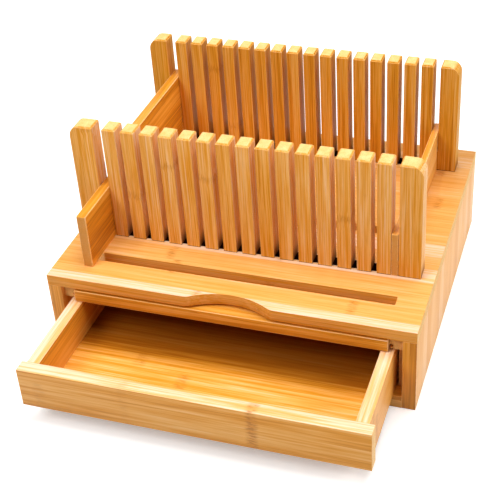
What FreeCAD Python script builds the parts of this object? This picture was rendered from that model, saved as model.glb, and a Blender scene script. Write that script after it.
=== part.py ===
import FreeCAD, Part
import os

# Bread slicer guide: a bamboo cabinet with a drawer and a crumb tray, and two slotted combs on top.
# Millimetres. X runs to the right, Y from front to back, Z up. The origin is the centre of the
# cabinet's footprint, on the surface it stands on. The drawer is modelled part open.

Vector = FreeCAD.Vector

# Cabinet
cabinet_width = 340.0
cabinet_depth = 299.0
cabinet_height = 86.3
top_thickness = 11.0
side_thickness = 12.4
bottom_thickness = 13.1
back_thickness = 10.0

# Finger scoop in the front edge of the top panel
scoop_offset = 3.0
scoop_width = 76.0
scoop_depth = 11.7
scoop_corner_radius = 14.0

# Long slots in the top panel
slot_left_margin = 37.0
slot_right_margin = 26.1
slot_width = 11.7
slot_corner_radius = 1.5
spare_front_slot_y = 38.4
front_comb_y = 81.5
spare_middle_slot_y = 138.8
rear_comb_y = 263.6

# Crumb tray and its grooved runners
tray_thickness = 11.8
tray_headroom = 2.4
tray_side_clearance = 0.5
tray_back_clearance = 2.0
tray_rim = 15.0
tray_well_depth = 5.0
tray_well_corner_radius = 8.0
tongue_reach = 3.0
tongue_height = 2.4
tongue_lift = 2.0
tongue_front_setback = 8.0
runner_width = 12.0
runner_front_setback = 5.0
groove_side_clearance = 0.5
groove_height_clearance = 0.3

# Drawer
drawer_open = 98.3
drawer_front_thickness = 12.2
drawer_front_lift = 7.7
drawer_front_side_gap = 2.9
drawer_wall = 11.4
drawer_side_gap = 7.6
drawer_height_gap = 0.8
drawer_floor_thickness = 4.0
drawer_floor_groove = 4.0
drawer_floor_clearance = 0.2
drawer_slide_clearance = 0.2
drawer_back_clearance = 4.0
guide_clearance = 2.0
guide_front_clearance = 1.0

# Combs
front_comb_left_margin = 5.1
front_comb_right_margin = 12.0
rear_comb_left_margin = 8.9
rear_comb_right_margin = 14.1
comb_thickness = 17.0
comb_height = 115.0
comb_edge_ease = 1.4
post_corner_radius = 11.0
left_gap_margin = 27.4
left_end_gap = 9.8
right_gap_margin = 32.1
right_end_gap = 6.9
knife_gap = 5.3
front_slat_count = 15
rear_slat_count = 16
gap_below_top = 8.0
tongue_clearance = 0.2
front_web_height = 21.5
rear_web_height = 21.5

# End stops that cross the combs
left_stop_thickness = 9.0
right_stop_thickness = 6.1
stop_clearance = 0.2
rear_web_clearance = 6.0
stop_edge_radius = 1.5
left_stop_reach = 51.9
left_stop_front_height = 54.1
left_stop_height = 74.7
right_stop_height = 44.2

# Dowels
dowel_radius = 3.0
dowel_fit = 0.05
dowel_end_clearance = 0.5
dowel_side_length = 14.0
dowel_face_length = 7.0
top_dowel_spacing = 200.0
bottom_dowel_spacing = 180.0
back_dowel_spacing = 34.0
drawer_dowel_spacing = 20.0

# Places worked out from the sizes above
left_face = -cabinet_width / 2
right_face = cabinet_width / 2
front_face = -cabinet_depth / 2
rear_face = cabinet_depth / 2
top_underside = cabinet_height - top_thickness
inner_left = left_face + side_thickness
inner_right = right_face - side_thickness
back_panel_front = rear_face - back_thickness
tray_top = top_underside - tray_headroom
tray_bottom = tray_top - tray_thickness
runner_bottom = tray_bottom
tongue_bottom = tray_bottom + tongue_lift
tray_left = inner_left + runner_width + tray_side_clearance
tray_right = inner_right - runner_width - tray_side_clearance
drawer_top = tray_bottom - drawer_height_gap
drawer_front_face = front_face - drawer_open
drawer_box_front = drawer_front_face + drawer_front_thickness
drawer_box_rear = back_panel_front - drawer_back_clearance - drawer_open
drawer_underside = bottom_thickness + drawer_slide_clearance
drawer_floor_bottom = bottom_thickness + drawer_front_lift
drawer_left = inner_left + drawer_side_gap
drawer_right = inner_right - drawer_side_gap
guide_front = front_face + drawer_front_thickness + guide_front_clearance
slot_left = left_face + slot_left_margin
slot_right = right_face - slot_right_margin
knife_gap_bottom = cabinet_height - gap_below_top
comb_top = cabinet_height + comb_height
front_web_top = cabinet_height + front_web_height
rear_web_top = cabinet_height + rear_web_height
left_gap = left_face + left_gap_margin
first_slat = left_gap + left_end_gap
right_post = right_face - right_gap_margin
right_gap = right_post - right_end_gap
left_stop_face = left_gap + (left_end_gap - left_stop_thickness) / 2
right_stop_face = right_gap + (right_end_gap - right_stop_thickness) / 2
front_comb_front = front_face + front_comb_y - comb_thickness / 2


def box(x0, x1, y0, y1, z0, z1):
    """Block between two corners."""
    return Part.makeBox(x1 - x0, y1 - y0, z1 - z0, Vector(x0, y0, z0))


def rounded_plate(x0, x1, y0, y1, z0, z1, radius):
    """Block whose four upright corners are rounded."""
    block = box(x0, x1, y0, y1, z0, z1)
    uprights = [edge for edge in block.Edges if abs(edge.tangentAt(edge.FirstParameter).z) > 0.5]
    return block.makeFillet(radius, uprights)


def line(start, end):
    return Part.LineSegment(start, end).toShape()


def outline(points, radii):
    """Closed wire through the points, each corner rounded by its own radius (0 leaves it sharp)."""
    edges = []
    pen = None
    first = None
    count = len(points)
    for index in range(count):
        corner = points[index]
        to_last = (points[index - 1] - corner).normalize()
        to_next = (points[(index + 1) % count] - corner).normalize()
        radius = radii[index]
        if radius > 0:
            enter = corner + to_last * radius
            leave = corner + to_next * radius
            centre = corner + (to_last + to_next) * radius
            middle = centre - (to_last + to_next).normalize() * radius
            if pen is not None:
                edges.append(line(pen, enter))
            edges.append(Part.Arc(enter, middle, leave).toShape())
        else:
            enter = corner
            leave = corner
            if pen is not None:
                edges.append(line(pen, corner))
        if first is None:
            first = enter
        pen = leave
    edges.append(line(pen, first))
    return Part.Wire(edges)


def dowel_hole(centre, direction, depth):
    return Part.makeCylinder(dowel_radius + dowel_fit, depth + dowel_end_clearance, centre, direction)


def dowel(centre, direction, back_length, front_length):
    start = centre - direction * back_length
    return Part.makeCylinder(dowel_radius, back_length + front_length, start, direction)


def spread(count, spacing):
    """Offsets of evenly spaced things about zero."""
    return [(index - (count - 1) / 2) * spacing for index in range(count)]


# Dowel places: a point on the joint face and the direction into the end of the second board
up = Vector(0, 0, 1)
right = Vector(1, 0, 0)
backward = Vector(0, 1, 0)


def top_dowels(side_x):
    return [(Vector(side_x, y, top_underside), up) for y in spread(2, top_dowel_spacing)]


def bottom_dowels(face_x, inward):
    middle_y = (front_face + back_panel_front) / 2
    rows = spread(2, bottom_dowel_spacing)
    return [(Vector(face_x, middle_y + y, bottom_thickness / 2), inward) for y in rows]


def back_dowels(face_x, inward):
    middle_y = (back_panel_front + rear_face) / 2
    middle_z = top_underside / 2
    rows = spread(2, back_dowel_spacing)
    return [(Vector(face_x, middle_y, middle_z + z), inward) for z in rows]


def drawer_front_dowels(side_x):
    middle_z = (drawer_floor_bottom + drawer_floor_thickness + drawer_top) / 2
    rows = spread(2, drawer_dowel_spacing)
    return [(Vector(side_x, drawer_box_front, middle_z + z), backward) for z in rows]


def drawer_back_dowels(face_x, inward):
    middle_z = (drawer_floor_bottom + drawer_floor_thickness + drawer_top) / 2
    middle_y = drawer_box_rear - drawer_wall / 2
    rows = spread(2, drawer_dowel_spacing)
    return [(Vector(face_x, middle_y, middle_z + z), inward) for z in rows]


left_side_middle = left_face + side_thickness / 2
right_side_middle = right_face - side_thickness / 2
drawer_left_middle = drawer_left + drawer_wall / 2
drawer_right_middle = drawer_right - drawer_wall / 2
left_top_row = top_dowels(left_side_middle)
right_top_row = top_dowels(right_side_middle)
left_bottom_row = bottom_dowels(inner_left, right)
right_bottom_row = bottom_dowels(inner_right, -right)
left_back_row = back_dowels(inner_left, right)
right_back_row = back_dowels(inner_right, -right)
left_drawer_front_row = drawer_front_dowels(drawer_left_middle)
right_drawer_front_row = drawer_front_dowels(drawer_right_middle)
left_drawer_back_row = drawer_back_dowels(drawer_left + drawer_wall, right)
right_drawer_back_row = drawer_back_dowels(drawer_right - drawer_wall, -right)


def drill(board, rows, sign, depth):
    """Sink a row's holes into a board; sign +1 drills along the row's direction, -1 against it."""
    for point, direction in rows:
        board = board.cut(dowel_hole(point, direction * sign, depth))
    return board


def scoop_cutter():
    """Finger scoop: a long arc into the edge, its two corners rounded over into the straight edge."""
    middle_x = scoop_offset
    radius = (scoop_width ** 2 / 4 + scoop_depth ** 2) / (2 * scoop_depth)
    arc_centre = Vector(middle_x, front_face + scoop_depth - radius, 0)
    corner_y = front_face + scoop_corner_radius
    corner_run = (scoop_depth * (2 * (radius + scoop_corner_radius) - scoop_depth)) ** 0.5

    def corner(sense):
        centre = Vector(middle_x + sense * corner_run, corner_y, 0)
        edge_point = Vector(centre.x, front_face, 0)
        to_arc = (arc_centre - centre).normalize()
        arc_point = centre + to_arc * scoop_corner_radius
        middle = centre + (to_arc + Vector(0, -1, 0)).normalize() * scoop_corner_radius
        return edge_point, middle, arc_point

    left_edge, left_middle, left_arc = corner(-1)
    right_edge, right_middle, right_arc = corner(1)
    top = Vector(middle_x, front_face + scoop_depth, 0)
    outside = Vector(0, -scoop_depth, 0)
    edges = [
        Part.Arc(left_edge, left_middle, left_arc).toShape(),
        Part.Arc(left_arc, top, right_arc).toShape(),
        Part.Arc(right_arc, right_middle, right_edge).toShape(),
        line(right_edge, right_edge + outside),
        line(right_edge + outside, left_edge + outside),
        line(left_edge + outside, left_edge),
    ]
    face = Part.Face(Part.Wire(edges))
    face.translate(Vector(0, 0, top_underside))
    return face.extrude(Vector(0, 0, top_thickness))


def slot_cutter(centre_y):
    y = front_face + centre_y
    half = slot_width / 2
    return rounded_plate(slot_left, slot_right, y - half, y + half, top_underside, cabinet_height,
                         slot_corner_radius)


def top_panel():
    panel = box(left_face, right_face, front_face, rear_face, top_underside, cabinet_height)
    panel = panel.cut(scoop_cutter())
    for centre_y in (spare_front_slot_y, front_comb_y, spare_middle_slot_y, rear_comb_y):
        panel = panel.cut(slot_cutter(centre_y))
    panel = drill(panel, left_top_row, 1, dowel_face_length)
    return drill(panel, right_top_row, 1, dowel_face_length)


def side_panel(x0, top_row, bottom_row, back_row):
    panel = box(x0, x0 + side_thickness, front_face, rear_face, 0, top_underside)
    panel = drill(panel, top_row, -1, dowel_side_length)
    panel = drill(panel, bottom_row, -1, dowel_face_length)
    return drill(panel, back_row, -1, dowel_face_length)


def bottom_panel():
    panel = box(inner_left, inner_right, front_face, back_panel_front, 0, bottom_thickness)
    return drill(panel, left_bottom_row + right_bottom_row, 1, dowel_side_length)


def back_panel():
    panel = box(inner_left, inner_right, back_panel_front, rear_face, 0, top_underside)
    return drill(panel, left_back_row + right_back_row, 1, dowel_side_length)


def tray_runner(outer_x, sense):
    """Strip glued to a side panel under the top, with a groove along its inner face."""
    inner_x = outer_x + sense * runner_width
    groove_x = inner_x - sense * (tongue_reach - tray_side_clearance + groove_side_clearance)
    y0 = front_face + runner_front_setback
    strip = box(min(outer_x, inner_x), max(outer_x, inner_x), y0, back_panel_front,
                runner_bottom, top_underside)
    z0 = tongue_bottom - groove_height_clearance
    z1 = tongue_bottom + tongue_height + groove_height_clearance
    groove = box(min(groove_x, inner_x), max(groove_x, inner_x), y0, back_panel_front, z0, z1)
    return strip.cut(groove)


def crumb_tray():
    """Board that slides out under the top panel: a tongue down each side and a shallow well on top."""
    y1 = back_panel_front - tray_back_clearance
    board = box(tray_left, tray_right, front_face, y1, tray_bottom, tray_top)
    tongue_front = front_face + tongue_front_setback
    tongues = box(tray_left - tongue_reach, tray_right + tongue_reach, tongue_front, y1,
                  tongue_bottom, tongue_bottom + tongue_height)
    well = rounded_plate(tray_left + tray_rim, tray_right - tray_rim, front_face + tray_rim, y1 - tray_rim,
                         tray_top - tray_well_depth, tray_top, tray_well_corner_radius)
    return board.fuse(tongues).cut(well).removeSplitter()


def drawer_guide(outer_x, sense):
    """Board between the bottom panel and the tray runner that keeps the drawer box running straight."""
    inner_x = outer_x + sense * (drawer_side_gap - guide_clearance)
    return box(min(outer_x, inner_x), max(outer_x, inner_x), guide_front, back_panel_front,
               bottom_thickness, runner_bottom)


def drawer_front():
    """Front board, with a rebate along its lower inner edge for the drawer floor."""
    x0 = inner_left + drawer_front_side_gap
    x1 = inner_right - drawer_front_side_gap
    board = box(x0, x1, drawer_front_face, drawer_box_front, drawer_floor_bottom, drawer_top)
    rebate = box(drawer_left, drawer_right, drawer_box_front - drawer_floor_groove, drawer_box_front,
                 drawer_floor_bottom, drawer_floor_bottom + drawer_floor_thickness)
    board = board.cut(rebate)
    return drill(board, left_drawer_front_row + right_drawer_front_row, -1, dowel_face_length)


def drawer_side(x0, groove_x0, front_row, back_row):
    side = box(x0, x0 + drawer_wall, drawer_box_front, drawer_box_rear, drawer_underside, drawer_top)
    groove = box(groove_x0, groove_x0 + drawer_floor_groove, drawer_box_front, drawer_box_rear,
                 drawer_floor_bottom, drawer_floor_bottom + drawer_floor_thickness)
    side = side.cut(groove)
    side = drill(side, front_row, 1, dowel_side_length)
    return drill(side, back_row, -1, dowel_face_length)


def drawer_back():
    """Rear wall, standing on the drawer floor between the two sides."""
    board = box(drawer_left + drawer_wall, drawer_right - drawer_wall, drawer_box_rear - drawer_wall,
                drawer_box_rear, drawer_floor_bottom + drawer_floor_thickness, drawer_top)
    return drill(board, left_drawer_back_row + right_drawer_back_row, 1, dowel_side_length)


def drawer_floor():
    reach = drawer_floor_groove - drawer_floor_clearance
    x0 = drawer_left + drawer_wall - reach
    x1 = drawer_right - drawer_wall + reach
    return box(x0, x1, drawer_box_front - reach, drawer_box_rear, drawer_floor_bottom,
               drawer_floor_bottom + drawer_floor_thickness)


def comb_front_outline(slat_count, x0, x1, web_top):
    """Front view of a comb: post, end gap, slats with knife gaps, end gap, post, and the tongue."""
    slat_width = (right_gap - first_slat - (slat_count - 1) * knife_gap) / slat_count
    tongue_z = top_underside + tongue_clearance
    tongue_x0 = slot_left + slot_corner_radius
    tongue_x1 = slot_right - slot_corner_radius
    corners = []

    def add(x, z, radius):
        corners.append((Vector(x, 0, z), radius))

    add(x0, cabinet_height, 0)
    add(x0, comb_top, post_corner_radius)
    add(left_gap - comb_edge_ease, comb_top, 0)
    add(left_gap, comb_top - comb_edge_ease, 0)
    add(left_gap, web_top, 0)
    slat_x = first_slat
    for index in range(slat_count):
        before = web_top if index == 0 else knife_gap_bottom
        after = web_top if index == slat_count - 1 else knife_gap_bottom
        add(slat_x, before, 0)
        add(slat_x, comb_top - comb_edge_ease, 0)
        add(slat_x + comb_edge_ease, comb_top, 0)
        add(slat_x + slat_width - comb_edge_ease, comb_top, 0)
        add(slat_x + slat_width, comb_top - comb_edge_ease, 0)
        add(slat_x + slat_width, after, 0)
        slat_x += slat_width + knife_gap
    add(right_post, web_top, 0)
    add(right_post, comb_top - comb_edge_ease, 0)
    add(right_post + comb_edge_ease, comb_top, 0)
    add(x1, comb_top, post_corner_radius)
    add(x1, cabinet_height, 0)
    add(tongue_x1, cabinet_height, 0)
    add(tongue_x1, tongue_z, 0)
    add(tongue_x0, tongue_z, 0)
    add(tongue_x0, cabinet_height, 0)
    return outline([point for point, radius in corners], [radius for point, radius in corners])


def comb_end_outline():
    """End view of a comb: full thickness above the panel, eased at the top, and the thin tongue below."""
    half = comb_thickness / 2
    thin = slot_width / 2 - tongue_clearance
    tongue_z = top_underside + tongue_clearance
    points = [
        Vector(left_face, -half, cabinet_height),
        Vector(left_face, -half, comb_top - comb_edge_ease),
        Vector(left_face, comb_edge_ease - half, comb_top),
        Vector(left_face, half - comb_edge_ease, comb_top),
        Vector(left_face, half, comb_top - comb_edge_ease),
        Vector(left_face, half, cabinet_height),
        Vector(left_face, thin, cabinet_height),
        Vector(left_face, thin, tongue_z),
        Vector(left_face, -thin, tongue_z),
        Vector(left_face, -thin, cabinet_height),
    ]
    return Part.makePolygon(points + points[:1])


def comb(slat_count, centre_y, x0, x1, web_top):
    """One board: slats cut down past the panel's surface, and a low web across each end gap."""
    front_view = Part.Face(comb_front_outline(slat_count, x0, x1, web_top))
    front_view.translate(Vector(0, -comb_thickness, 0))
    board = front_view.extrude(Vector(0, 2 * comb_thickness, 0))
    end_view = Part.Face(comb_end_outline()).extrude(Vector(cabinet_width, 0, 0))
    board = board.common(end_view)
    board.translate(Vector(0, front_face + centre_y, 0))
    return board


def front_comb():
    """Its webs are thinned from both faces, so the end stops reach the panel before and behind them."""
    board = comb(front_slat_count, front_comb_y, left_face + front_comb_left_margin,
                 right_face - front_comb_right_margin, front_web_top)
    half = comb_thickness / 2
    thin = slot_width / 2 - tongue_clearance
    y = front_face + front_comb_y
    for x0, x1 in ((left_gap, first_slat), (right_gap, right_post)):
        board = board.cut(box(x0, x1, y - half, y - thin, cabinet_height, front_web_top))
        board = board.cut(box(x0, x1, y + thin, y + half, cabinet_height, front_web_top))
    return board.removeSplitter()


def rear_comb():
    return comb(rear_slat_count, rear_comb_y, left_face + rear_comb_left_margin,
                right_face - rear_comb_right_margin, rear_web_top).removeSplitter()


def end_stop(x0, thickness, front_y, heights):
    """Board on edge through both combs' end gaps, notched from below over their webs.

    heights are the tops in front of and behind the rear face of the front comb.
    """
    front_height, rear_height = heights
    half = comb_thickness / 2
    thin = slot_width / 2 - tongue_clearance + stop_clearance
    front_centre = front_face + front_comb_y
    rear_centre = front_face + rear_comb_y
    step_y = front_centre + half + stop_clearance
    front_notch_top = front_web_top + stop_clearance
    rear_notch_top = rear_web_top + rear_web_clearance
    front_top = cabinet_height + front_height
    rear_top = cabinet_height + rear_height
    corners = []

    def add(y, z, radius):
        corners.append((Vector(x0, y, z), radius))

    add(front_y, cabinet_height, 0)
    add(front_y, front_top, stop_edge_radius)
    if rear_top > front_top:
        add(step_y, front_top, 0)
        add(step_y, rear_top, stop_edge_radius)
    add(rear_centre + half, rear_top, stop_edge_radius)
    add(rear_centre + half, rear_notch_top, 0)
    add(rear_centre - half - stop_clearance, rear_notch_top, 0)
    add(rear_centre - half - stop_clearance, cabinet_height, 0)
    add(front_centre + thin, cabinet_height, 0)
    add(front_centre + thin, front_notch_top, 0)
    add(front_centre - thin, front_notch_top, 0)
    add(front_centre - thin, cabinet_height, 0)
    wire = outline([point for point, radius in corners], [radius for point, radius in corners])
    return Part.Face(wire).extrude(Vector(thickness, 0, 0))


def dowel_group(rows, back_length, front_length):
    return [dowel(point, direction, back_length, front_length) for point, direction in rows]


def cabinet_dowels():
    pins = dowel_group(left_top_row + right_top_row, dowel_side_length, dowel_face_length)
    side_rows = left_bottom_row + right_bottom_row + left_back_row + right_back_row
    pins += dowel_group(side_rows, dowel_face_length, dowel_side_length)
    return Part.makeCompound(pins)


def drawer_dowels():
    rows = left_drawer_front_row + right_drawer_front_row + left_drawer_back_row + right_drawer_back_row
    return Part.makeCompound(dowel_group(rows, dowel_face_length, dowel_side_length))


nodes = {
    "top_panel": top_panel(),
    "left_side_panel": side_panel(left_face, left_top_row, left_bottom_row, left_back_row),
    "right_side_panel": side_panel(inner_right, right_top_row, right_bottom_row, right_back_row),
    "bottom_panel": bottom_panel(),
    "back_panel": back_panel(),
    "left_tray_runner": tray_runner(inner_left, 1),
    "right_tray_runner": tray_runner(inner_right, -1),
    "left_drawer_guide": drawer_guide(inner_left, 1),
    "right_drawer_guide": drawer_guide(inner_right, -1),
    "cabinet_dowels": cabinet_dowels(),
    "crumb_tray": crumb_tray(),
    "drawer_front": drawer_front(),
    "drawer_left_side": drawer_side(drawer_left, drawer_left + drawer_wall - drawer_floor_groove,
                                    left_drawer_front_row, left_drawer_back_row),
    "drawer_right_side": drawer_side(drawer_right - drawer_wall, drawer_right - drawer_wall,
                                     right_drawer_front_row, right_drawer_back_row),
    "drawer_back": drawer_back(),
    "drawer_floor": drawer_floor(),
    "drawer_dowels": drawer_dowels(),
    "front_comb": front_comb(),
    "rear_comb": rear_comb(),
    "left_end_stop": end_stop(left_stop_face, left_stop_thickness, front_comb_front - left_stop_reach,
                              (left_stop_front_height, left_stop_height)),
    "right_end_stop": end_stop(right_stop_face, right_stop_thickness, front_comb_front,
                               (right_stop_height, right_stop_height)),
}

os.makedirs("parts", exist_ok=True)
for name, shape in nodes.items():
    shape.exportStep("parts/" + name + ".step")
    print(name, "solids", len(shape.Solids), "volume", round(shape.Volume, 1), "valid", shape.isValid())
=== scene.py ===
import math

import bpy
from mathutils import Matrix, Vector


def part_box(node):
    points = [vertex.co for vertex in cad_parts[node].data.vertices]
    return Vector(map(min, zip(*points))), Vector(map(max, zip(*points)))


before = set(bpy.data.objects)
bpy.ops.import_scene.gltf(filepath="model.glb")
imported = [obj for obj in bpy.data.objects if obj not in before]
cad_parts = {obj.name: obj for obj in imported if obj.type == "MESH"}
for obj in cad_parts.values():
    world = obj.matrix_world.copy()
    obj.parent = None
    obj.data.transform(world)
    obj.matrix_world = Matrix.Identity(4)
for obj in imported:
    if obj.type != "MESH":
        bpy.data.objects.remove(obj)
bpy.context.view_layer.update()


def middle_y(node):
    low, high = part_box(node)
    return (low[1] + high[1]) / 2


# ---------------------------------------------------------------- sizes, in metres
EASED_EDGE = 0.0007
EASED_COMB_EDGE = 0.0012
EASED_DOWEL_EDGE = 0.0003
EASING_STEPS = 3
SHARP_CORNER = math.radians(28)
FLAT_LIMIT = math.radians(1.0)
SAME_POINT = 0.00001

TOP_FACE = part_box("top_panel")[1][2]
FRONT_COMB_Y = middle_y("front_comb")
REAR_COMB_Y = middle_y("rear_comb")
SLOT_REACH = 0.0066        # half a comb slot's width, and a little more: the reach of the slots' painted shade
FOOT_RISE = 0.016          # how far up a comb's foot the painted shade reaches
CUT_RISE = 0.001           # how far above the top panel's face the painted black at a knife gap's bottom fades out

SLAT_START = -0.13545      # half a knife gap before the first slat
FRONT_PITCH = 0.01794
REAR_PITCH = 0.01682

STRIP = 0.0195             # a glued strip of the wide boards
FRONT_COMB_STRIP = 0.0060
REAR_COMB_STRIP = 0.0058
RUNNER_STRIP = 0.03
DOWEL_STRIP = 0.02
WIDE_STRIP = 0.12          # wider than the drawer's walls are tall
NO_STRIPS = 0.5            # wider than any piece
NO_PLIES = 0.05            # a single ply through the board
TOP_PLY = 0.0037

# ---------------------------------------------------------------- bamboo colours, linear
BAMBOO_TONES = (
    (0.04, (0.440, 0.140, 0.009, 1.0)),
    (0.36, (0.740, 0.295, 0.024, 1.0)),
    (0.70, (0.865, 0.445, 0.120, 1.0)),
    (1.00, (0.930, 0.670, 0.450, 1.0)),
)
NODE_BROWN = (0.560, 0.200, 0.016, 1.0)
JOINT_DARK = (0.400, 0.125, 0.010, 1.0)
GLUE_LINE = (0.380, 0.120, 0.008, 1.0)
END_DARK = (0.420, 0.170, 0.025, 1.0)
END_MID = (0.790, 0.405, 0.080, 1.0)
# The cream of cut ends stands partly for a painted highlight, as the slat tops catch the lamps.
END_PALE = (0.900, 0.640, 0.310, 1.0)
# Painted shade: a brown for shaded wood, and below it a near black for the comb slots and knife gaps.
SHADE_BROWN = (0.200, 0.052, 0.003, 1.0)
PAINTED_RECESS_SHADE = (0.040, 0.011, 0.002, 1.0)
NO_TINT = (1.0, 1.0, 1.0)


# ---------------------------------------------------------------- node helpers
def socket_kind(default):
    if isinstance(default, tuple) or default is None:
        return "NodeSocketVector"
    return "NodeSocketFloat"


def new_group(name, inputs, outputs):
    """An empty shader group: its inputs with their defaults, None for a vector, and its outputs' kinds."""
    group = bpy.data.node_groups.new(name, "ShaderNodeTree")
    for label, default in inputs.items():
        socket = group.interface.new_socket(name=label, in_out="INPUT", socket_type=socket_kind(default))
        if default is not None:
            socket.default_value = default
    for label, kind in outputs.items():
        group.interface.new_socket(name=label, in_out="OUTPUT", socket_type="NodeSocket" + kind)
    enter = group.nodes.new("NodeGroupInput")
    leave = group.nodes.new("NodeGroupOutput")
    return group, enter.outputs, leave.inputs


def feed(tree, socket, value):
    """Wires an output into a socket, or writes a plain value there."""
    if isinstance(value, bpy.types.NodeSocket):
        tree.links.new(value, socket)
    else:
        socket.default_value = value


def math_node(tree, operation, first, second=0.0, third=0.0):
    node = tree.nodes.new("ShaderNodeMath")
    node.operation = operation
    feed(tree, node.inputs[0], first)
    feed(tree, node.inputs[1], second)
    if operation in {"MULTIPLY_ADD", "COMPARE"}:
        feed(tree, node.inputs[2], third)
    return node.outputs[0]


def split_vector(tree, vector):
    node = tree.nodes.new("ShaderNodeSeparateXYZ")
    feed(tree, node.inputs[0], vector)
    return node.outputs


def vector_node(tree, x, y, z):
    node = tree.nodes.new("ShaderNodeCombineXYZ")
    feed(tree, node.inputs[0], x)
    feed(tree, node.inputs[1], y)
    feed(tree, node.inputs[2], z)
    return node.outputs[0]


def noise_node(tree, vector, scale=1.0, detail=2.0, roughness=0.5):
    node = tree.nodes.new("ShaderNodeTexNoise")
    feed(tree, node.inputs["Vector"], vector)
    node.inputs["Scale"].default_value = scale
    node.inputs["Detail"].default_value = detail
    node.inputs["Roughness"].default_value = roughness
    return node.outputs["Fac"]


def random_node(tree, value):
    node = tree.nodes.new("ShaderNodeTexWhiteNoise")
    node.noise_dimensions = "1D"
    feed(tree, node.inputs["W"], value)
    return node.outputs["Value"]


def soft_step(tree, value, low, high):
    """0 at low and beyond, 1 at high and beyond, and a smooth rise between."""
    node = tree.nodes.new("ShaderNodeMapRange")
    node.interpolation_type = "SMOOTHSTEP"
    feed(tree, node.inputs["Value"], value)
    feed(tree, node.inputs["From Min"], low)
    feed(tree, node.inputs["From Max"], high)
    return node.outputs["Result"]


def mix_value(tree, factor, first, second):
    change = math_node(tree, "SUBTRACT", second, first)
    return math_node(tree, "MULTIPLY_ADD", change, factor, first)


def mix_colour(tree, factor, first, second):
    node = tree.nodes.new("ShaderNodeMix")
    node.data_type = "RGBA"
    colours = [socket for socket in node.inputs if socket.type == "RGBA"]
    feed(tree, node.inputs[0], factor)
    feed(tree, colours[0], first)
    feed(tree, colours[1], second)
    return next(socket for socket in node.outputs if socket.type == "RGBA")


def distance_from(tree, value, middle):
    return math_node(tree, "ABSOLUTE", math_node(tree, "SUBTRACT", value, middle))


def place_group(tree, group, **values):
    """A group placed in a material, with its inputs fed by name."""
    node = tree.nodes.new("ShaderNodeGroup")
    node.node_tree = group
    for label, value in values.items():
        feed(tree, node.inputs[label.replace("_", " ")], value)
    return node.outputs


# ---------------------------------------------------------------- effects shared by the bamboo finishes
# Inside these groups a place or a normal is turned so that X runs along the grain, Y across the strips
# and Z through the board.
WANDER = 0.0006            # how far a glue joint strays
WANDER_SCALE = 3.0
PLY_COUNT_START = 50.0     # keeps the ply numbers above zero
SEED_STEP = 11.3
SHIFT_STEP = 0.37
GLUE_LINE_WIDTH = 0.00032

STREAK_STRETCH = (8.0, 300.0)
STREAK_RANGE = (0.30, 0.70)
FIBRE_STRETCH = (17.0, 820.0)
FIBRE_RANGE = (0.34, 0.66)
PORE_STRETCH = (70.0, 2300.0)
PORE_RANGE = (0.62, 0.74)
SWAY = 0.006               # how far the fibres bend round a culm joint
SWAY_SCALE = 95.0

JOINT_RIPPLE = 0.004       # how far a culm joint's line waves
CULM_RIPPLE_STRETCH = (30.0, 110.0)
CULM_DASH_STRETCH = (170.0, 760.0)
CULM_DASH_RANGE = (0.46, 0.64)
CULM_DASH_REACH = (1.3, 0.1)
CULM_BAND_REACH = (1.1, 0.0)
CULM_BEND_REACH = (2.6, 0.0)
CULM_KEY_STEPS = (17.3, 91.7)
PLACED_RIPPLE_STRETCH = (40.0, 260.0)
PLACED_DASH_STRETCH = (120.0, 560.0)
PLACED_DASH_RANGE = (0.45, 0.60)
PLACED_LENGTH_FADE = (0.62, 0.10)
PLACED_REACH_FADE = (0.56, 0.40)

EDGE_FACING = 0.75
END_FACING = (0.72, 0.92)
VESSEL_SCALE = 900.0
VESSEL_RANGE = (0.42, 0.18)
VESSEL_DEPTH = 0.40
CLOUD_SCALE = 160.0

MIDDLE_TONE = 0.45
# how far painted shade lowers the tone, beside browning the colour
SHADE_DEEPENS = -0.35
BAND_SHARE = 0.5           # the soft band of a culm joint beside its dashes
GLUE_LINE_DEPTH = 0.35
FOOT_DEPTH = 0.75
PLAIN_ROUGHNESS = 0.42
STREAK_ROUGHNESS = 0.08
END_ROUGHNESS = 0.14


def stretched(group, place, along, across, shift=0.0):
    """A place scaled along the grain and across it, so that noise comes out as streaks."""
    x, y, z = place
    x = math_node(group, "ADD", math_node(group, "MULTIPLY", x, along), shift)
    y = math_node(group, "MULTIPLY", y, across)
    z = math_node(group, "MULTIPLY", z, across)
    return vector_node(group, x, y, z)


def board_faces_group():
    """Which way a point of a board faces: its edges, and its cut ends."""
    group, enter, leave = new_group("board faces", {"Normal": None}, {"Edge": "Float", "End": "Float"})
    facing = split_vector(group, enter["Normal"])
    edge = math_node(group, "GREATER_THAN", math_node(group, "ABSOLUTE", facing["Y"]), EDGE_FACING)
    feed(group, leave["Edge"], edge)
    feed(group, leave["End"], soft_step(group, math_node(group, "ABSOLUTE", facing["X"]), *END_FACING))
    return group


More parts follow.
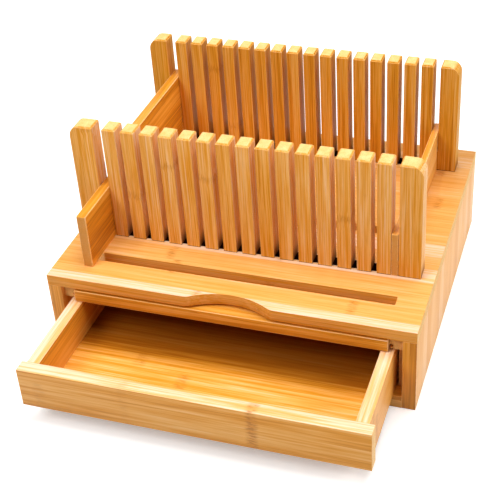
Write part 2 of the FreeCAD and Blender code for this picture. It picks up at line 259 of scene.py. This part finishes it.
def strip_layout_group():
    """Which glued strip a point lies in: a random tone, a random shift, and how near its edge is.

    Broad faces show strips side by side. Where Edge is 1 the board's edge shows, with its plies.
    """
    group, enter, leave = new_group(
        "bamboo strip layout",
        {"Vector": None, "Strip Width": 0.02, "Ply": 0.004, "Edge": 0.0, "Seed": 0.0},
        {"Tone": "Float", "Shift": "Float", "Glue Line": "Float"},
    )
    place = split_vector(group, enter["Vector"])
    wander = noise_node(group, enter["Vector"], WANDER_SCALE, detail=1.0)
    strayed = math_node(group, "MULTIPLY_ADD", wander, WANDER, place["Y"])
    strips = math_node(group, "ADD", math_node(group, "DIVIDE", strayed, enter["Strip Width"]), enter["Seed"])
    plies = math_node(group, "ADD", math_node(group, "DIVIDE", place["Z"], enter["Ply"]), PLY_COUNT_START)
    count = mix_value(group, enter["Edge"], strips, plies)
    width = mix_value(group, enter["Edge"], enter["Strip Width"], enter["Ply"])
    key = math_node(group, "MULTIPLY_ADD", enter["Seed"], SEED_STEP, math_node(group, "FLOOR", count))
    feed(group, leave["Tone"], random_node(group, key))
    feed(group, leave["Shift"], random_node(group, math_node(group, "ADD", key, SHIFT_STEP)))
    off_centre = distance_from(group, math_node(group, "FRACT", count), 0.5)
    inside = math_node(group, "MULTIPLY", math_node(group, "SUBTRACT", 0.5, off_centre), width)
    feed(group, leave["Glue Line"], soft_step(group, inside, GLUE_LINE_WIDTH, 0.0))
    return group


def fibre_group():
    """Long thin fibres along the grain: broad streaks, the fine lines between them, and short dark pores.

    Where Bend is 1, beside a culm joint, the fibres sway.
    """
    group, enter, leave = new_group(
        "bamboo fibre",
        {"Vector": None, "Bend": 0.0, "Seed": 0.0},
        {"Streak": "Float", "Fibre": "Float", "Pores": "Float"},
    )
    place = split_vector(group, enter["Vector"])
    sway = noise_node(group, enter["Vector"], SWAY_SCALE, detail=1.0)
    sway = math_node(group, "MULTIPLY", math_node(group, "SUBTRACT", sway, 0.5), enter["Bend"])
    swayed = (place["X"], math_node(group, "MULTIPLY_ADD", sway, SWAY, place["Y"]), place["Z"])
    seed = enter["Seed"]
    broad = noise_node(group, stretched(group, swayed, *STREAK_STRETCH, seed), detail=3.0, roughness=0.62)
    fine = noise_node(group, stretched(group, swayed, *FIBRE_STRETCH, seed), roughness=0.6)
    pores = noise_node(group, stretched(group, swayed, *PORE_STRETCH, seed), detail=1.0)
    feed(group, leave["Streak"], soft_step(group, broad, *STREAK_RANGE))
    feed(group, leave["Fibre"], soft_step(group, fine, *FIBRE_RANGE))
    feed(group, leave["Pores"], soft_step(group, pores, *PORE_RANGE))
    return group


def culm_node_group():
    """The marks that the culm's joints leave across a strip: a soft brown band, dashes in it, and a bend."""
    group, enter, leave = new_group(
        "bamboo culm nodes",
        {"Vector": None, "Shift": 0.0, "Spacing": 0.21, "Band": 0.0052, "Share": 0.5},
        {"Band": "Float", "Dashes": "Float", "Bend": "Float"},
    )
    place = tuple(split_vector(group, enter["Vector"]))
    ripple = noise_node(group, stretched(group, place, *CULM_RIPPLE_STRETCH))
    along = math_node(group, "MULTIPLY_ADD", ripple, JOINT_RIPPLE, place[0])
    turns = math_node(group, "ADD", math_node(group, "DIVIDE", along, enter["Spacing"]), enter["Shift"])
    turn_step, shift_step = CULM_KEY_STEPS
    key = math_node(group, "MULTIPLY", math_node(group, "FLOOR", turns), turn_step)
    key = math_node(group, "MULTIPLY_ADD", enter["Shift"], shift_step, key)
    present = math_node(group, "LESS_THAN", random_node(group, key), enter["Share"])
    off_centre = distance_from(group, math_node(group, "FRACT", turns), 0.5)
    distance = math_node(group, "MULTIPLY", off_centre, enter["Spacing"])
    near = math_node(group, "DIVIDE", distance, enter["Band"])
    dash = noise_node(group, stretched(group, place, *CULM_DASH_STRETCH), roughness=0.6)
    dash = math_node(group, "MULTIPLY", soft_step(group, dash, *CULM_DASH_RANGE),
                     soft_step(group, near, *CULM_DASH_REACH))
    band = soft_step(group, near, *CULM_BAND_REACH)
    bend = soft_step(group, near, *CULM_BEND_REACH)
    feed(group, leave["Band"], math_node(group, "MULTIPLY", band, present))
    feed(group, leave["Dashes"], math_node(group, "MULTIPLY", dash, present))
    feed(group, leave["Bend"], math_node(group, "MULTIPLY", bend, present))
    return group


def placed_joint_group():
    """One culm joint at a chosen place, with its length along the grain and its reach across it."""
    group, enter, leave = new_group(
        "bamboo placed joint",
        {"Vector": None, "Along": 0.0, "Across": 0.0, "Length": 0.01, "Reach": 0.02},
        {"Band": "Float", "Dashes": "Float"},
    )
    place = tuple(split_vector(group, enter["Vector"]))
    ripple = noise_node(group, stretched(group, place, *PLACED_RIPPLE_STRETCH))
    along = math_node(group, "MULTIPLY_ADD", ripple, JOINT_RIPPLE, place[0])
    along = distance_from(group, math_node(group, "SUBTRACT", along, JOINT_RIPPLE / 2), enter["Along"])
    along = math_node(group, "DIVIDE", along, enter["Length"])
    across = math_node(group, "DIVIDE", distance_from(group, place[1], enter["Across"]), enter["Reach"])
    patch = math_node(group, "MULTIPLY", soft_step(group, along, *PLACED_LENGTH_FADE),
                      soft_step(group, across, *PLACED_REACH_FADE))
    dash = noise_node(group, stretched(group, place, *PLACED_DASH_STRETCH), roughness=0.6)
    dash = soft_step(group, dash, *PLACED_DASH_RANGE)
    feed(group, leave["Band"], patch)
    feed(group, leave["Dashes"], math_node(group, "MULTIPLY", patch, dash))
    return group


def end_grain_group():
    """Cut ends: pale wood with a soft cloud in it and dark vessel dots, browner where Brown says so: partly
    the end grain's own brown, partly painted shade.
    """
    group, enter, leave = new_group(
        "bamboo end grain",
        {"Vector": None, "Brown": 0.0},
        {"Color": "Color", "Dots": "Float"},
    )
    cells = group.nodes.new("ShaderNodeTexVoronoi")
    feed(group, cells.inputs["Vector"], enter["Vector"])
    cells.inputs["Scale"].default_value = VESSEL_SCALE
    dots = soft_step(group, cells.outputs["Distance"], *VESSEL_RANGE)
    cloud = noise_node(group, enter["Vector"], CLOUD_SCALE, detail=3.0)
    cut = mix_colour(group, cloud, END_PALE, END_MID)
    cut = mix_colour(group, math_node(group, "MULTIPLY", dots, VESSEL_DEPTH), cut, END_DARK)
    feed(group, leave["Color"], mix_colour(group, enter["Brown"], cut, NODE_BROWN))
    feed(group, leave["Dots"], dots)
    return group


def shade_group():
    """A soft painted shade that grows from Start to End along one direction."""
    group, enter, leave = new_group(
        "bamboo painted shade",
        {"Place": 0.0, "Start": 0.0, "End": 1.0, "Amount": 0.0},
        {"Shade": "Float"},
    )
    rise = soft_step(group, enter["Place"], enter["Start"], enter["End"])
    feed(group, leave["Shade"], math_node(group, "MULTIPLY", rise, enter["Amount"]))
    return group


def comb_recess_shade_group():
    """Painted shade in a comb's knife gaps: a dark foot, and black where a gap goes on under the top panel,
    on all below its face.
    """
    group, enter, leave = new_group(
        "comb recess painted shade",
        {"Height": 0.0, "Top": 0.0, "Edge": 0.0},
        {"Foot": "Float", "Deep Cut": "Float"},
    )
    top = enter["Top"]
    foot = soft_step(group, enter["Height"], math_node(group, "ADD", top, FOOT_RISE), top)
    foot = math_node(group, "MULTIPLY", foot, FOOT_DEPTH)
    feed(group, leave["Foot"], math_node(group, "MULTIPLY", foot, enter["Edge"]))
    deep_cut = soft_step(group, enter["Height"], math_node(group, "ADD", top, CUT_RISE), top)
    feed(group, leave["Deep Cut"], deep_cut)
    return group


def tone_group():
    """How pale the wood is at a point: its strip, slat, streaks and fibres, its edge and any painted shade.
    """
    swings = ("Strip", "Slat", "Streak", "Fibre")
    inputs = {"Light": 0.0, "Edge": 0.0, "Edge Light": 0.0, "Shade": 0.0}
    for label in swings:
        inputs[label] = 0.5
        inputs[label + " Swing"] = 0.0
    group, enter, leave = new_group("bamboo tone", inputs, {"Tone": "Float"})
    tone = math_node(group, "ADD", enter["Light"], MIDDLE_TONE)
    for label in swings:
        off_middle = math_node(group, "SUBTRACT", enter[label], 0.5)
        tone = math_node(group, "MULTIPLY_ADD", off_middle, enter[label + " Swing"], tone)
    tone = math_node(group, "MULTIPLY_ADD", enter["Edge"], enter["Edge Light"], tone)
    feed(group, leave["Tone"], math_node(group, "MULTIPLY_ADD", enter["Shade"], SHADE_DEEPENS, tone))
    return group


def wood_colour_group():
    """The wood's own colour, with its pores, culm joints and glue lines, under a tint."""
    group, enter, leave = new_group(
        "bamboo colour",
        {"Tone": 0.5, "Pores": 0.0, "Pore Depth": 0.25, "Band": 0.0, "Dashes": 0.0, "Joint Depth": 0.5,
         "Glue Line": 0.0, "Tint": NO_TINT},
        {"Color": "Color"},
    )
    ramp = group.nodes.new("ShaderNodeValToRGB")
    feed(group, ramp.inputs[0], enter["Tone"])
    colours = ramp.color_ramp.elements
    for index, (position, colour) in enumerate(BAMBOO_TONES):
        stop = colours[index] if index < 2 else colours.new(position)
        stop.position = position
        stop.color = colour
    pores = math_node(group, "MULTIPLY", enter["Pores"], enter["Pore Depth"])
    wood = mix_colour(group, pores, ramp.outputs[0], NODE_BROWN)
    band_depth = math_node(group, "MULTIPLY", enter["Joint Depth"], BAND_SHARE)
    wood = mix_colour(group, math_node(group, "MULTIPLY", enter["Band"], band_depth), wood, NODE_BROWN)
    dashes = math_node(group, "MULTIPLY", enter["Dashes"], enter["Joint Depth"])
    wood = mix_colour(group, dashes, wood, JOINT_DARK)
    glue = math_node(group, "MULTIPLY", enter["Glue Line"], GLUE_LINE_DEPTH)
    wood = mix_colour(group, glue, wood, GLUE_LINE)
    tinted = group.nodes.new("ShaderNodeVectorMath")
    tinted.operation = "MULTIPLY"
    feed(group, tinted.inputs[0], wood)
    feed(group, tinted.inputs[1], enter["Tint"])
    feed(group, leave["Color"], tinted.outputs[0])
    return group


RELIEF = (("Fibre", 0.5), ("Pores", -0.5), ("Glue Line", -1.2), ("Band", 0.5))


def surface_group():
    """How rough the wood is, and the fine relief of its grain, pores and cut ends."""
    inputs = {label: 0.0 for label, share in RELIEF}
    inputs.update({"Streak": 0.0, "Dots": 0.0, "End": 0.0})
    group, enter, leave = new_group("bamboo surface", inputs, {"Roughness": "Float", "Height": "Float"})
    rough = math_node(group, "MULTIPLY_ADD", enter["Streak"], STREAK_ROUGHNESS, PLAIN_ROUGHNESS)
    feed(group, leave["Roughness"], math_node(group, "MULTIPLY_ADD", enter["End"], END_ROUGHNESS, rough))
    dots = math_node(group, "MULTIPLY", enter["Dots"], enter["End"])
    height = math_node(group, "MULTIPLY", dots, -1.0)
    for label, share in RELIEF:
        height = math_node(group, "MULTIPLY_ADD", enter[label], share, height)
    feed(group, leave["Height"], height)
    return group


BOARD_FACES = board_faces_group()
STRIP_LAYOUT = strip_layout_group()
FIBRE = fibre_group()
CULM_NODES = culm_node_group()
PLACED_JOINT = placed_joint_group()
END_GRAIN = end_grain_group()
SHADE = shade_group()
COMB_RECESS_SHADE = comb_recess_shade_group()
TONE = tone_group()
WOOD_COLOUR = wood_colour_group()
SURFACE = surface_group()

AXES = "XYZ"
FIBRE_SEED_STEP = 3.1
RELIEF_STRENGTH = 0.35
RELIEF_DISTANCE = 0.00012
WOOD_IOR = 1.45
LACQUER_ROUGHNESS = 0.28
BAMBOO_LOOK = {
    "ply": 0.0041,         # thickness of the plies seen on a board's edges
    "spacing": 0.21,       # distance between the culm joints of a strip
    "share": 0.45,         # share of those joints that show
    "joint_depth": 0.5,    # how brown the culm joints are
    "joints": (),          # culm joints at chosen places: along, across, length, reach, strength
    "light": 0.0,          # lighter or darker as a whole
    "edge_light": 0.0,     # lighter or darker on the board's edges: partly the plies' own tone, partly painted light and shade by how they face the lamps
    "tone_swing": 0.5,     # how much the strips differ
    "slats": None,         # pitch and start of the comb's slats, each with its own tone
    "slat_swing": 0.0,     # how much the slats differ
    "streaks": 0.26,       # how much the fibre streaks differ
    "fibres": 0.17,        # how much the fine fibres differ
    "pores": 0.25,         # how dark the pores are
    "tint": NO_TINT,       # a colour laid over the wood's own
    "shade": None,         # where painted shade darkens the wood: axis, start, end, amount
    "dark_slots": (),      # places across the board of the comb slots whose walls are painted nearly black, as painted shade
    "recess": False,       # whether painted shade darkens the wood towards the top panel, as in a comb's knife gaps
    "end_brown": 0.0,      # how brown the cut ends are: partly their own brown, partly painted shade on ends that sit in shade
    "coat": 0.08,          # lacquer over the wood
    "gloss": 0.35,         # how much the wood itself reflects
}


def bamboo(name, grain, across, strip_width, seed, **changes):
    """Lacquered bamboo with the grain along one axis and its glued strips side by side on another."""
    look = dict(BAMBOO_LOOK, **changes)
    material = bpy.data.materials.new(name)
    material.use_nodes = True
    tree = material.node_tree
    skin = tree.nodes["Principled BSDF"]
    spot = tree.nodes.new("ShaderNodeTexCoord").outputs
    place = split_vector(tree, spot["Object"])
    facing = split_vector(tree, spot["Normal"])
    depth = (set(AXES) - {grain, across}).pop()
    turned = vector_node(tree, place[grain], place[across], place[depth])
    turned_normal = vector_node(tree, facing[grain], facing[across], facing[depth])

    faces = place_group(tree, BOARD_FACES, Normal=turned_normal)
    strips = place_group(tree, STRIP_LAYOUT, Vector=turned, Strip_Width=strip_width, Ply=look["ply"],
                         Edge=faces["Edge"], Seed=seed)
    slats = strips
    if look["slats"]:
        pitch, start = look["slats"]
        slats = place_group(tree, STRIP_LAYOUT, Vector=turned, Strip_Width=pitch, Ply=1.0,
                            Seed=-start / pitch)
    marks = place_group(tree, CULM_NODES, Vector=turned, Shift=slats["Shift"], Spacing=look["spacing"],
                        Share=look["share"])
    fibres = place_group(tree, FIBRE, Vector=turned, Bend=marks["Bend"], Seed=seed * FIBRE_SEED_STEP)
    ends = place_group(tree, END_GRAIN, Vector=spot["Object"], Brown=look["end_brown"])
    shade = 0.0
    if look["shade"]:
        axis, start, end, amount = look["shade"]
        shade = place_group(tree, SHADE, Place=place[axis], Start=start, End=end, Amount=amount)["Shade"]
    band, dashes = marks["Band"], marks["Dashes"]
    for along, over, length, reach, strength in look["joints"]:
        joint = place_group(tree, PLACED_JOINT, Vector=turned, Along=along, Across=over, Length=length,
                            Reach=reach)
        band = math_node(tree, "MAXIMUM", band, math_node(tree, "MULTIPLY", joint["Band"], strength))
        dashes = math_node(tree, "MAXIMUM", dashes, math_node(tree, "MULTIPLY", joint["Dashes"], strength))

    tone = place_group(tree, TONE, Light=look["light"], Edge=faces["Edge"], Edge_Light=look["edge_light"],
                       Shade=shade, Strip=strips["Tone"], Strip_Swing=look["tone_swing"], Slat=slats["Tone"],
                       Slat_Swing=look["slat_swing"], Streak=fibres["Streak"], Streak_Swing=look["streaks"],
                       Fibre=fibres["Fibre"], Fibre_Swing=look["fibres"])
    face = place_group(tree, WOOD_COLOUR, Tone=tone["Tone"], Pores=fibres["Pores"], Pore_Depth=look["pores"],
                       Band=band, Dashes=dashes, Joint_Depth=look["joint_depth"],
                       Glue_Line=strips["Glue Line"], Tint=look["tint"])["Color"]
    cut = ends["Color"]
    # Painted shade: the wood browns towards the end of its shade.
    if look["shade"]:
        face = mix_colour(tree, shade, face, SHADE_BROWN)
    # Painted shade: the walls of the comb slots are painted nearly black.
    for slot_place in look["dark_slots"]:
        near_slot = math_node(tree, "COMPARE", place[across], slot_place, SLOT_REACH)
        face = mix_colour(tree, math_node(tree, "MULTIPLY", near_slot, faces["Edge"]), face, PAINTED_RECESS_SHADE)
    # Painted shade: the feet of a comb's knife gaps darken, and all below the top panel's face is painted
    # black.
    if look["recess"]:
        recess = place_group(tree, COMB_RECESS_SHADE, Height=place["Z"], Top=TOP_FACE, Edge=faces["Edge"])
        face = mix_colour(tree, recess["Foot"], face, SHADE_BROWN)
        face = mix_colour(tree, recess["Deep Cut"], face, PAINTED_RECESS_SHADE)
        cut = mix_colour(tree, recess["Deep Cut"], cut, PAINTED_RECESS_SHADE)
    feed(tree, skin.inputs["Base Color"], mix_colour(tree, faces["End"], face, cut))

    surface = place_group(tree, SURFACE, Streak=fibres["Streak"], Fibre=fibres["Fibre"],
                          Pores=fibres["Pores"], Glue_Line=strips["Glue Line"], Band=marks["Band"],
                          Dots=ends["Dots"], End=faces["End"])
    feed(tree, skin.inputs["Roughness"], surface["Roughness"])
    bump = tree.nodes.new("ShaderNodeBump")
    bump.inputs["Strength"].default_value = RELIEF_STRENGTH
    bump.inputs["Distance"].default_value = RELIEF_DISTANCE
    feed(tree, bump.inputs["Height"], surface["Height"])
    feed(tree, skin.inputs["Normal"], bump.outputs["Normal"])
    skin.inputs["IOR"].default_value = WOOD_IOR
    skin.inputs["Specular IOR Level"].default_value = look["gloss"]
    skin.inputs["Coat Weight"].default_value = look["coat"]
    skin.inputs["Coat Roughness"].default_value = LACQUER_ROUGHNESS
    return material


# The eased edges' finishes are paler: partly sanded wood, partly a painted highlight where the round-overs
# catch the lamps. The combs' one also carries the painted shade of their knife gaps.
SANDED_EDGE_HIGHLIGHT = bamboo("sanded edge highlight bamboo", "X", "Y", NO_STRIPS, 2.2, tone_swing=0.0, share=0.0, light=0.28,
                     pores=0.1)
SANDED_COMB_EDGE_HIGHLIGHT = bamboo("sanded comb edge highlight bamboo", "Z", "X", NO_STRIPS, 2.2, tone_swing=0.0, share=0.0,
                          light=0.22, pores=0.1, coat=0.0, gloss=0.08, recess=True, ply=NO_PLIES)


# ---------------------------------------------------------------- pieces
def ease_edges(piece, width):
    """Sands a piece's sharp edges round: the board's own faces stay where they are."""
    piece.data.shade_smooth()
    weld = piece.modifiers.new("close seams", "WELD")
    weld.merge_threshold = SAME_POINT
    planes = piece.modifiers.new("whole faces", "DECIMATE")
    planes.decimate_type = "DISSOLVE"
    planes.angle_limit = FLAT_LIMIT
    round_over = piece.modifiers.new("eased edges", "BEVEL")
    round_over.width = width
    round_over.segments = EASING_STEPS
    round_over.limit_method = "ANGLE"
    round_over.angle_limit = SHARP_CORNER
    round_over.harden_normals = True
    round_over.use_clamp_overlap = True
    round_over.miter_outer = "MITER_ARC"
    round_over.material = 1


def finish_piece(node, wood, edge=SANDED_EDGE_HIGHLIGHT, width=EASED_EDGE):
    """Gives a piece its bamboo and eases its edges, which take the finish of the second slot: by default the
    paler sanded finish, with a painted highlight.
    """
    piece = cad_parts[node]
    ease_edges(piece, width)
    piece.data.materials.clear()
    piece.data.materials.append(wood)
    piece.data.materials.append(edge)


def finish_cabinet():
    # The top panel gets painted shade towards its back, and painted near black in its two comb slots.
    top = bamboo("top panel bamboo", "X", "Y", STRIP, 3.1, ply=TOP_PLY, tone_swing=0.30, joint_depth=0.5,
                 light=0.27, share=0.45, coat=0.0, gloss=0.1, streaks=0.20, fibres=0.14, edge_light=-0.17,
                 shade=("Y", 0.00, 0.14, 0.32), tint=(0.99, 0.98, 1.10),
                 dark_slots=(FRONT_COMB_Y, REAR_COMB_Y))
    finish_piece("top_panel", top, top)
    finish_piece("left_side_panel", bamboo("left side bamboo", "Z", "Y", STRIP, 5.7, tone_swing=0.35,
                                           light=-0.02, edge_light=-0.11))
    finish_piece("right_side_panel", bamboo("right side bamboo", "Z", "Y", STRIP, 8.2, tone_swing=0.25,
                                            light=0.18, joint_depth=0.3, edge_light=-0.38, coat=0.1,
                                            gloss=0.3))
    finish_piece("bottom_panel", bamboo("bottom panel bamboo", "X", "Y", STRIP, 1.4))
    finish_piece("back_panel", bamboo("back panel bamboo", "X", "Z", STRIP, 6.6))
    for side, seed in (("left", 2.3), ("right", 4.9)):
        runner = bamboo(side + " runner bamboo", "Y", "Z", RUNNER_STRIP, seed, tone_swing=0.3, coat=0.0,
                        gloss=0.1, end_brown=0.45)
        finish_piece(side + "_tray_runner", runner)
        finish_piece(side + "_drawer_guide", runner)


def finish_tray():
    finish_piece("crumb_tray", bamboo("crumb tray bamboo", "X", "Y", STRIP, 7.5, tone_swing=0.3, share=0.2,
                                      coat=0.0, gloss=0.2, edge_light=-0.14))


# Culm joints on one piece: along the grain, across it, length, reach, strength.
DRAWER_FRONT_JOINTS = (
    (0.055, 0.038, 0.011, 0.080, 0.95),
    (-0.058, 0.038, 0.010, 0.080, 0.15),
    (-0.137, 0.030, 0.012, 0.040, 0.25),
)
DRAWER_FLOOR_JOINTS = (
    (-0.075, -0.170, 0.014, 0.020, 0.5),
    (-0.029, -0.191, 0.014, 0.020, 0.5),
)


def finish_drawer():
    finish_piece("drawer_front", bamboo("drawer front bamboo", "X", "Z", WIDE_STRIP, 9.3, tone_swing=0.1,
                                        light=0.02, streaks=0.42, share=0.0, joint_depth=0.7,
                                        joints=DRAWER_FRONT_JOINTS, edge_light=0.41))
    for side, seed in (("left", 0.7), ("right", 3.6)):
        finish_piece("drawer_" + side + "_side", bamboo("drawer " + side + " side bamboo", "Y", "Z",
                                                        WIDE_STRIP, seed, tone_swing=0.25, share=0.3,
                                                        edge_light=0.42))
    finish_piece("drawer_back", bamboo("drawer back bamboo", "X", "Z", STRIP, 2.8))
    # The drawer floor gets painted shade towards its rear, where the cabinet shades it.
    finish_piece("drawer_floor", bamboo("drawer floor bamboo", "X", "Y", STRIP, 4.4, tone_swing=0.25,
                                        streaks=0.5, share=0.0, joint_depth=0.7, light=0.08, coat=0.0,
                                        gloss=0.0, joints=DRAWER_FLOOR_JOINTS, tint=(1.0, 0.98, 0.85),
                                        shade=("Y", -0.179, -0.148, 0.84)))


def finish_combs():
    # On the combs the edge_light pales the sides of slats and posts: painted light where the right lamp
    # falls.
    front = bamboo("front comb bamboo", "Z", "X", FRONT_COMB_STRIP, 6.1, ply=NO_PLIES, spacing=0.17,
                   share=0.3, tone_swing=0.11, slats=(FRONT_PITCH, SLAT_START), slat_swing=0.10,
                   light=0.11, joint_depth=0.35, recess=True, streaks=0.13, fibres=0.36, pores=0.45,
                   coat=0.0, gloss=0.06, edge_light=0.24)
    # The rear comb is kept darker than the front one, by its light and tint: painted shade, for the front
    # comb's shadow on it.
    rear = bamboo("rear comb bamboo", "Z", "X", REAR_COMB_STRIP, 8.8, ply=NO_PLIES, spacing=0.17, share=0.35,
                  tone_swing=0.22, slats=(REAR_PITCH, SLAT_START), slat_swing=0.12, light=-0.04,
                  joint_depth=0.35, recess=True, streaks=0.22, fibres=0.28, coat=0.0, gloss=0.03,
                  edge_light=0.26, tint=(0.84, 0.85, 0.74))
    finish_piece("front_comb", front, SANDED_COMB_EDGE_HIGHLIGHT, EASED_COMB_EDGE)
    finish_piece("rear_comb", rear, SANDED_COMB_EDGE_HIGHLIGHT, EASED_COMB_EDGE)


def finish_end_stops():
    finish_piece("left_end_stop", bamboo("left stop bamboo", "Y", "Z", STRIP, 5.2, tone_swing=0.3, share=0.2,
                                         light=-0.17, coat=0.0, gloss=0.2, end_brown=0.7,
                                         tint=(1.0, 1.0, 0.82)))
    finish_piece("right_end_stop", bamboo("right stop bamboo", "Y", "Z", STRIP, 1.9, tone_swing=0.3,
                                          share=0.2, end_brown=0.7))


def finish_dowels():
    wood = bamboo("dowel bamboo", "X", "Y", DOWEL_STRIP, 0.4)
    finish_piece("cabinet_dowels", wood, width=EASED_DOWEL_EDGE)
    finish_piece("drawer_dowels", wood, width=EASED_DOWEL_EDGE)


finish_cabinet()
finish_tray()
finish_drawer()
finish_combs()
finish_end_stops()
finish_dowels()


# ---------------------------------------------------------------- studio
WHITE = (1.0, 1.0, 1.0, 1.0)
FLOOR_HALF = 4.0
FLOOR_DROP = 0.0002                     # keeps the floor clear of the cabinet's underside
FLOOR_SEEN = (0.90, 0.90, 0.90, 1.0)    # as the camera, reflections and clear materials see it
FLOOR_BOUNCE = (0.60, 0.60, 0.60, 1.0)  # as it lights the wood
FLOOR_FAR = (0.0, 0.0, 0.0, 1.0)
FLOOR_GLOW = 0.33
FLOOR_FADE = (0.7, 2.2)                 # where the floor turns into the plain white of the background
FLOOR_ROUGHNESS = 0.9
WORLD_FILL = 0.13


def seen_directly(tree):
    """1 where the camera, a reflection or a clear material sees the surface, and 0 where it only lights."""
    path = tree.nodes.new("ShaderNodeLightPath").outputs
    seen = math_node(tree, "MAXIMUM", path["Is Camera Ray"], path["Is Transmission Ray"])
    return math_node(tree, "MAXIMUM", seen, path["Is Glossy Ray"])


def studio_floor():
    """Pale sweep under the object: seen as white, and it keeps the soft shadow."""
    half = FLOOR_HALF
    mesh = bpy.data.meshes.new("studio floor")
    corners = [(-half, -half, 0), (half, -half, 0), (half, half, 0), (-half, half, 0)]
    mesh.from_pydata(corners, [], [(0, 1, 2, 3)])
    floor = bpy.data.objects.new("studio_floor", mesh)
    floor.location.z = -FLOOR_DROP
    bpy.context.scene.collection.objects.link(floor)
    paper = bpy.data.materials.new("studio paper")
    paper.use_nodes = True
    tree = paper.node_tree
    skin = tree.nodes["Principled BSDF"]
    skin.inputs["Roughness"].default_value = FLOOR_ROUGHNESS
    skin.inputs["Specular IOR Level"].default_value = 0.0
    shown = seen_directly(tree)
    spot = tree.nodes.new("ShaderNodeTexCoord")
    reach = tree.nodes.new("ShaderNodeVectorMath")
    reach.operation = "LENGTH"
    feed(tree, reach.inputs[0], spot.outputs["Object"])
    far = soft_step(tree, reach.outputs["Value"], *FLOOR_FADE)
    seen_colour = mix_colour(tree, far, FLOOR_SEEN, FLOOR_FAR)
    feed(tree, skin.inputs["Base Color"], mix_colour(tree, shown, FLOOR_BOUNCE, seen_colour))
    skin.inputs["Emission Color"].default_value = WHITE
    glow = math_node(tree, "MULTIPLY_ADD", far, 1.0 - FLOOR_GLOW, FLOOR_GLOW)
    feed(tree, skin.inputs["Emission Strength"], math_node(tree, "MULTIPLY", shown, glow))
    mesh.materials.append(paper)


def studio_world():
    """White to the camera and in reflections, and a plain even fill for everything else."""
    world = bpy.data.worlds.new("studio")
    bpy.context.scene.world = world
    world.use_nodes = True
    tree = world.node_tree
    fill_light = tree.nodes["Background"]
    fill_light.inputs["Color"].default_value = WHITE
    fill_light.inputs["Strength"].default_value = WORLD_FILL
    white = tree.nodes.new("ShaderNodeBackground")
    white.inputs["Color"].default_value = WHITE
    white.inputs["Strength"].default_value = 1.0
    pick = tree.nodes.new("ShaderNodeMixShader")
    tree.links.new(seen_directly(tree), pick.inputs[0])
    tree.links.new(fill_light.outputs[0], pick.inputs[1])
    tree.links.new(white.outputs[0], pick.inputs[2])
    tree.links.new(pick.outputs[0], tree.nodes["World Output"].inputs[0])


def softbox(name, place, aim, size, power, colour):
    lamp = bpy.data.lights.new(name, "AREA")
    lamp.shape = "RECTANGLE"
    lamp.size, lamp.size_y = size
    lamp.energy = power
    lamp.color = colour
    box = bpy.data.objects.new(name, lamp)
    box.location = place
    box.rotation_mode = "QUATERNION"
    box.rotation_quaternion = (Vector(aim) - Vector(place)).to_track_quat("-Z", "Y")
    bpy.context.scene.collection.objects.link(box)


PLAIN = (1.0, 1.0, 1.0)
WARM = (1.0, 0.98, 0.96)
# Each lamp: name, place, what it points at, width and height in metres, watts, colour.
SOFTBOXES = (
    ("top softbox", (0.15, 0.00, 1.55), (0.0, 0.0, 0.10), (1.2, 0.9), 21.0, PLAIN),
    ("rear softbox", (-0.45, 1.35, 1.05), (0.0, 0.0, 0.10), (1.4, 0.8), 7.0, PLAIN),
    ("right softbox", (1.45, 0.05, 0.75), (0.1, 0.0, 0.08), (0.9, 0.8), 11.0, WARM),
    ("front softbox", (-0.75, -1.00, 1.35), (0.0, -0.05, 0.10), (0.9, 0.7), 17.0, PLAIN),
)

studio_floor()
studio_world()
for lamp in SOFTBOXES:
    softbox(*lamp)


# ---------------------------------------------------------------- camera
CAMERA_PLACE = (0.3044, -0.8866, 0.7112)
CAMERA_AZIMUTH = math.radians(18.98)
CAMERA_DROP = math.radians(34.46)
CAMERA_ROLL = math.radians(-3.17)
SENSOR_WIDTH = 36.0
FOCAL_PIXELS = 1168.0
PICTURE_PIXELS = 500.0
AXIS_PIXEL = (275.0, 225.0)


def camera():
    data = bpy.data.cameras.new("camera")
    data.sensor_width = SENSOR_WIDTH
    data.lens = data.sensor_width * FOCAL_PIXELS / PICTURE_PIXELS
    data.shift_x = 0.5 - AXIS_PIXEL[0] / PICTURE_PIXELS
    data.shift_y = AXIS_PIXEL[1] / PICTURE_PIXELS - 0.5
    ahead = Vector((
        -math.sin(CAMERA_AZIMUTH) * math.cos(CAMERA_DROP),
        math.cos(CAMERA_AZIMUTH) * math.cos(CAMERA_DROP),
        -math.sin(CAMERA_DROP),
    ))
    side = Vector((math.cos(CAMERA_AZIMUTH), math.sin(CAMERA_AZIMUTH), 0.0))
    down = ahead.cross(side)
    rolled_side = side * math.cos(CAMERA_ROLL) - down * math.sin(CAMERA_ROLL)
    rolled_down = side * math.sin(CAMERA_ROLL) + down * math.cos(CAMERA_ROLL)
    turn = Matrix((rolled_side, -rolled_down, -ahead)).transposed()
    view = bpy.data.objects.new("camera", data)
    view.matrix_world = Matrix.Translation(CAMERA_PLACE) @ turn.to_4x4()
    bpy.context.scene.collection.objects.link(view)
    bpy.context.scene.camera = view


camera()
bpy.context.scene.view_settings.view_transform = "Standard"
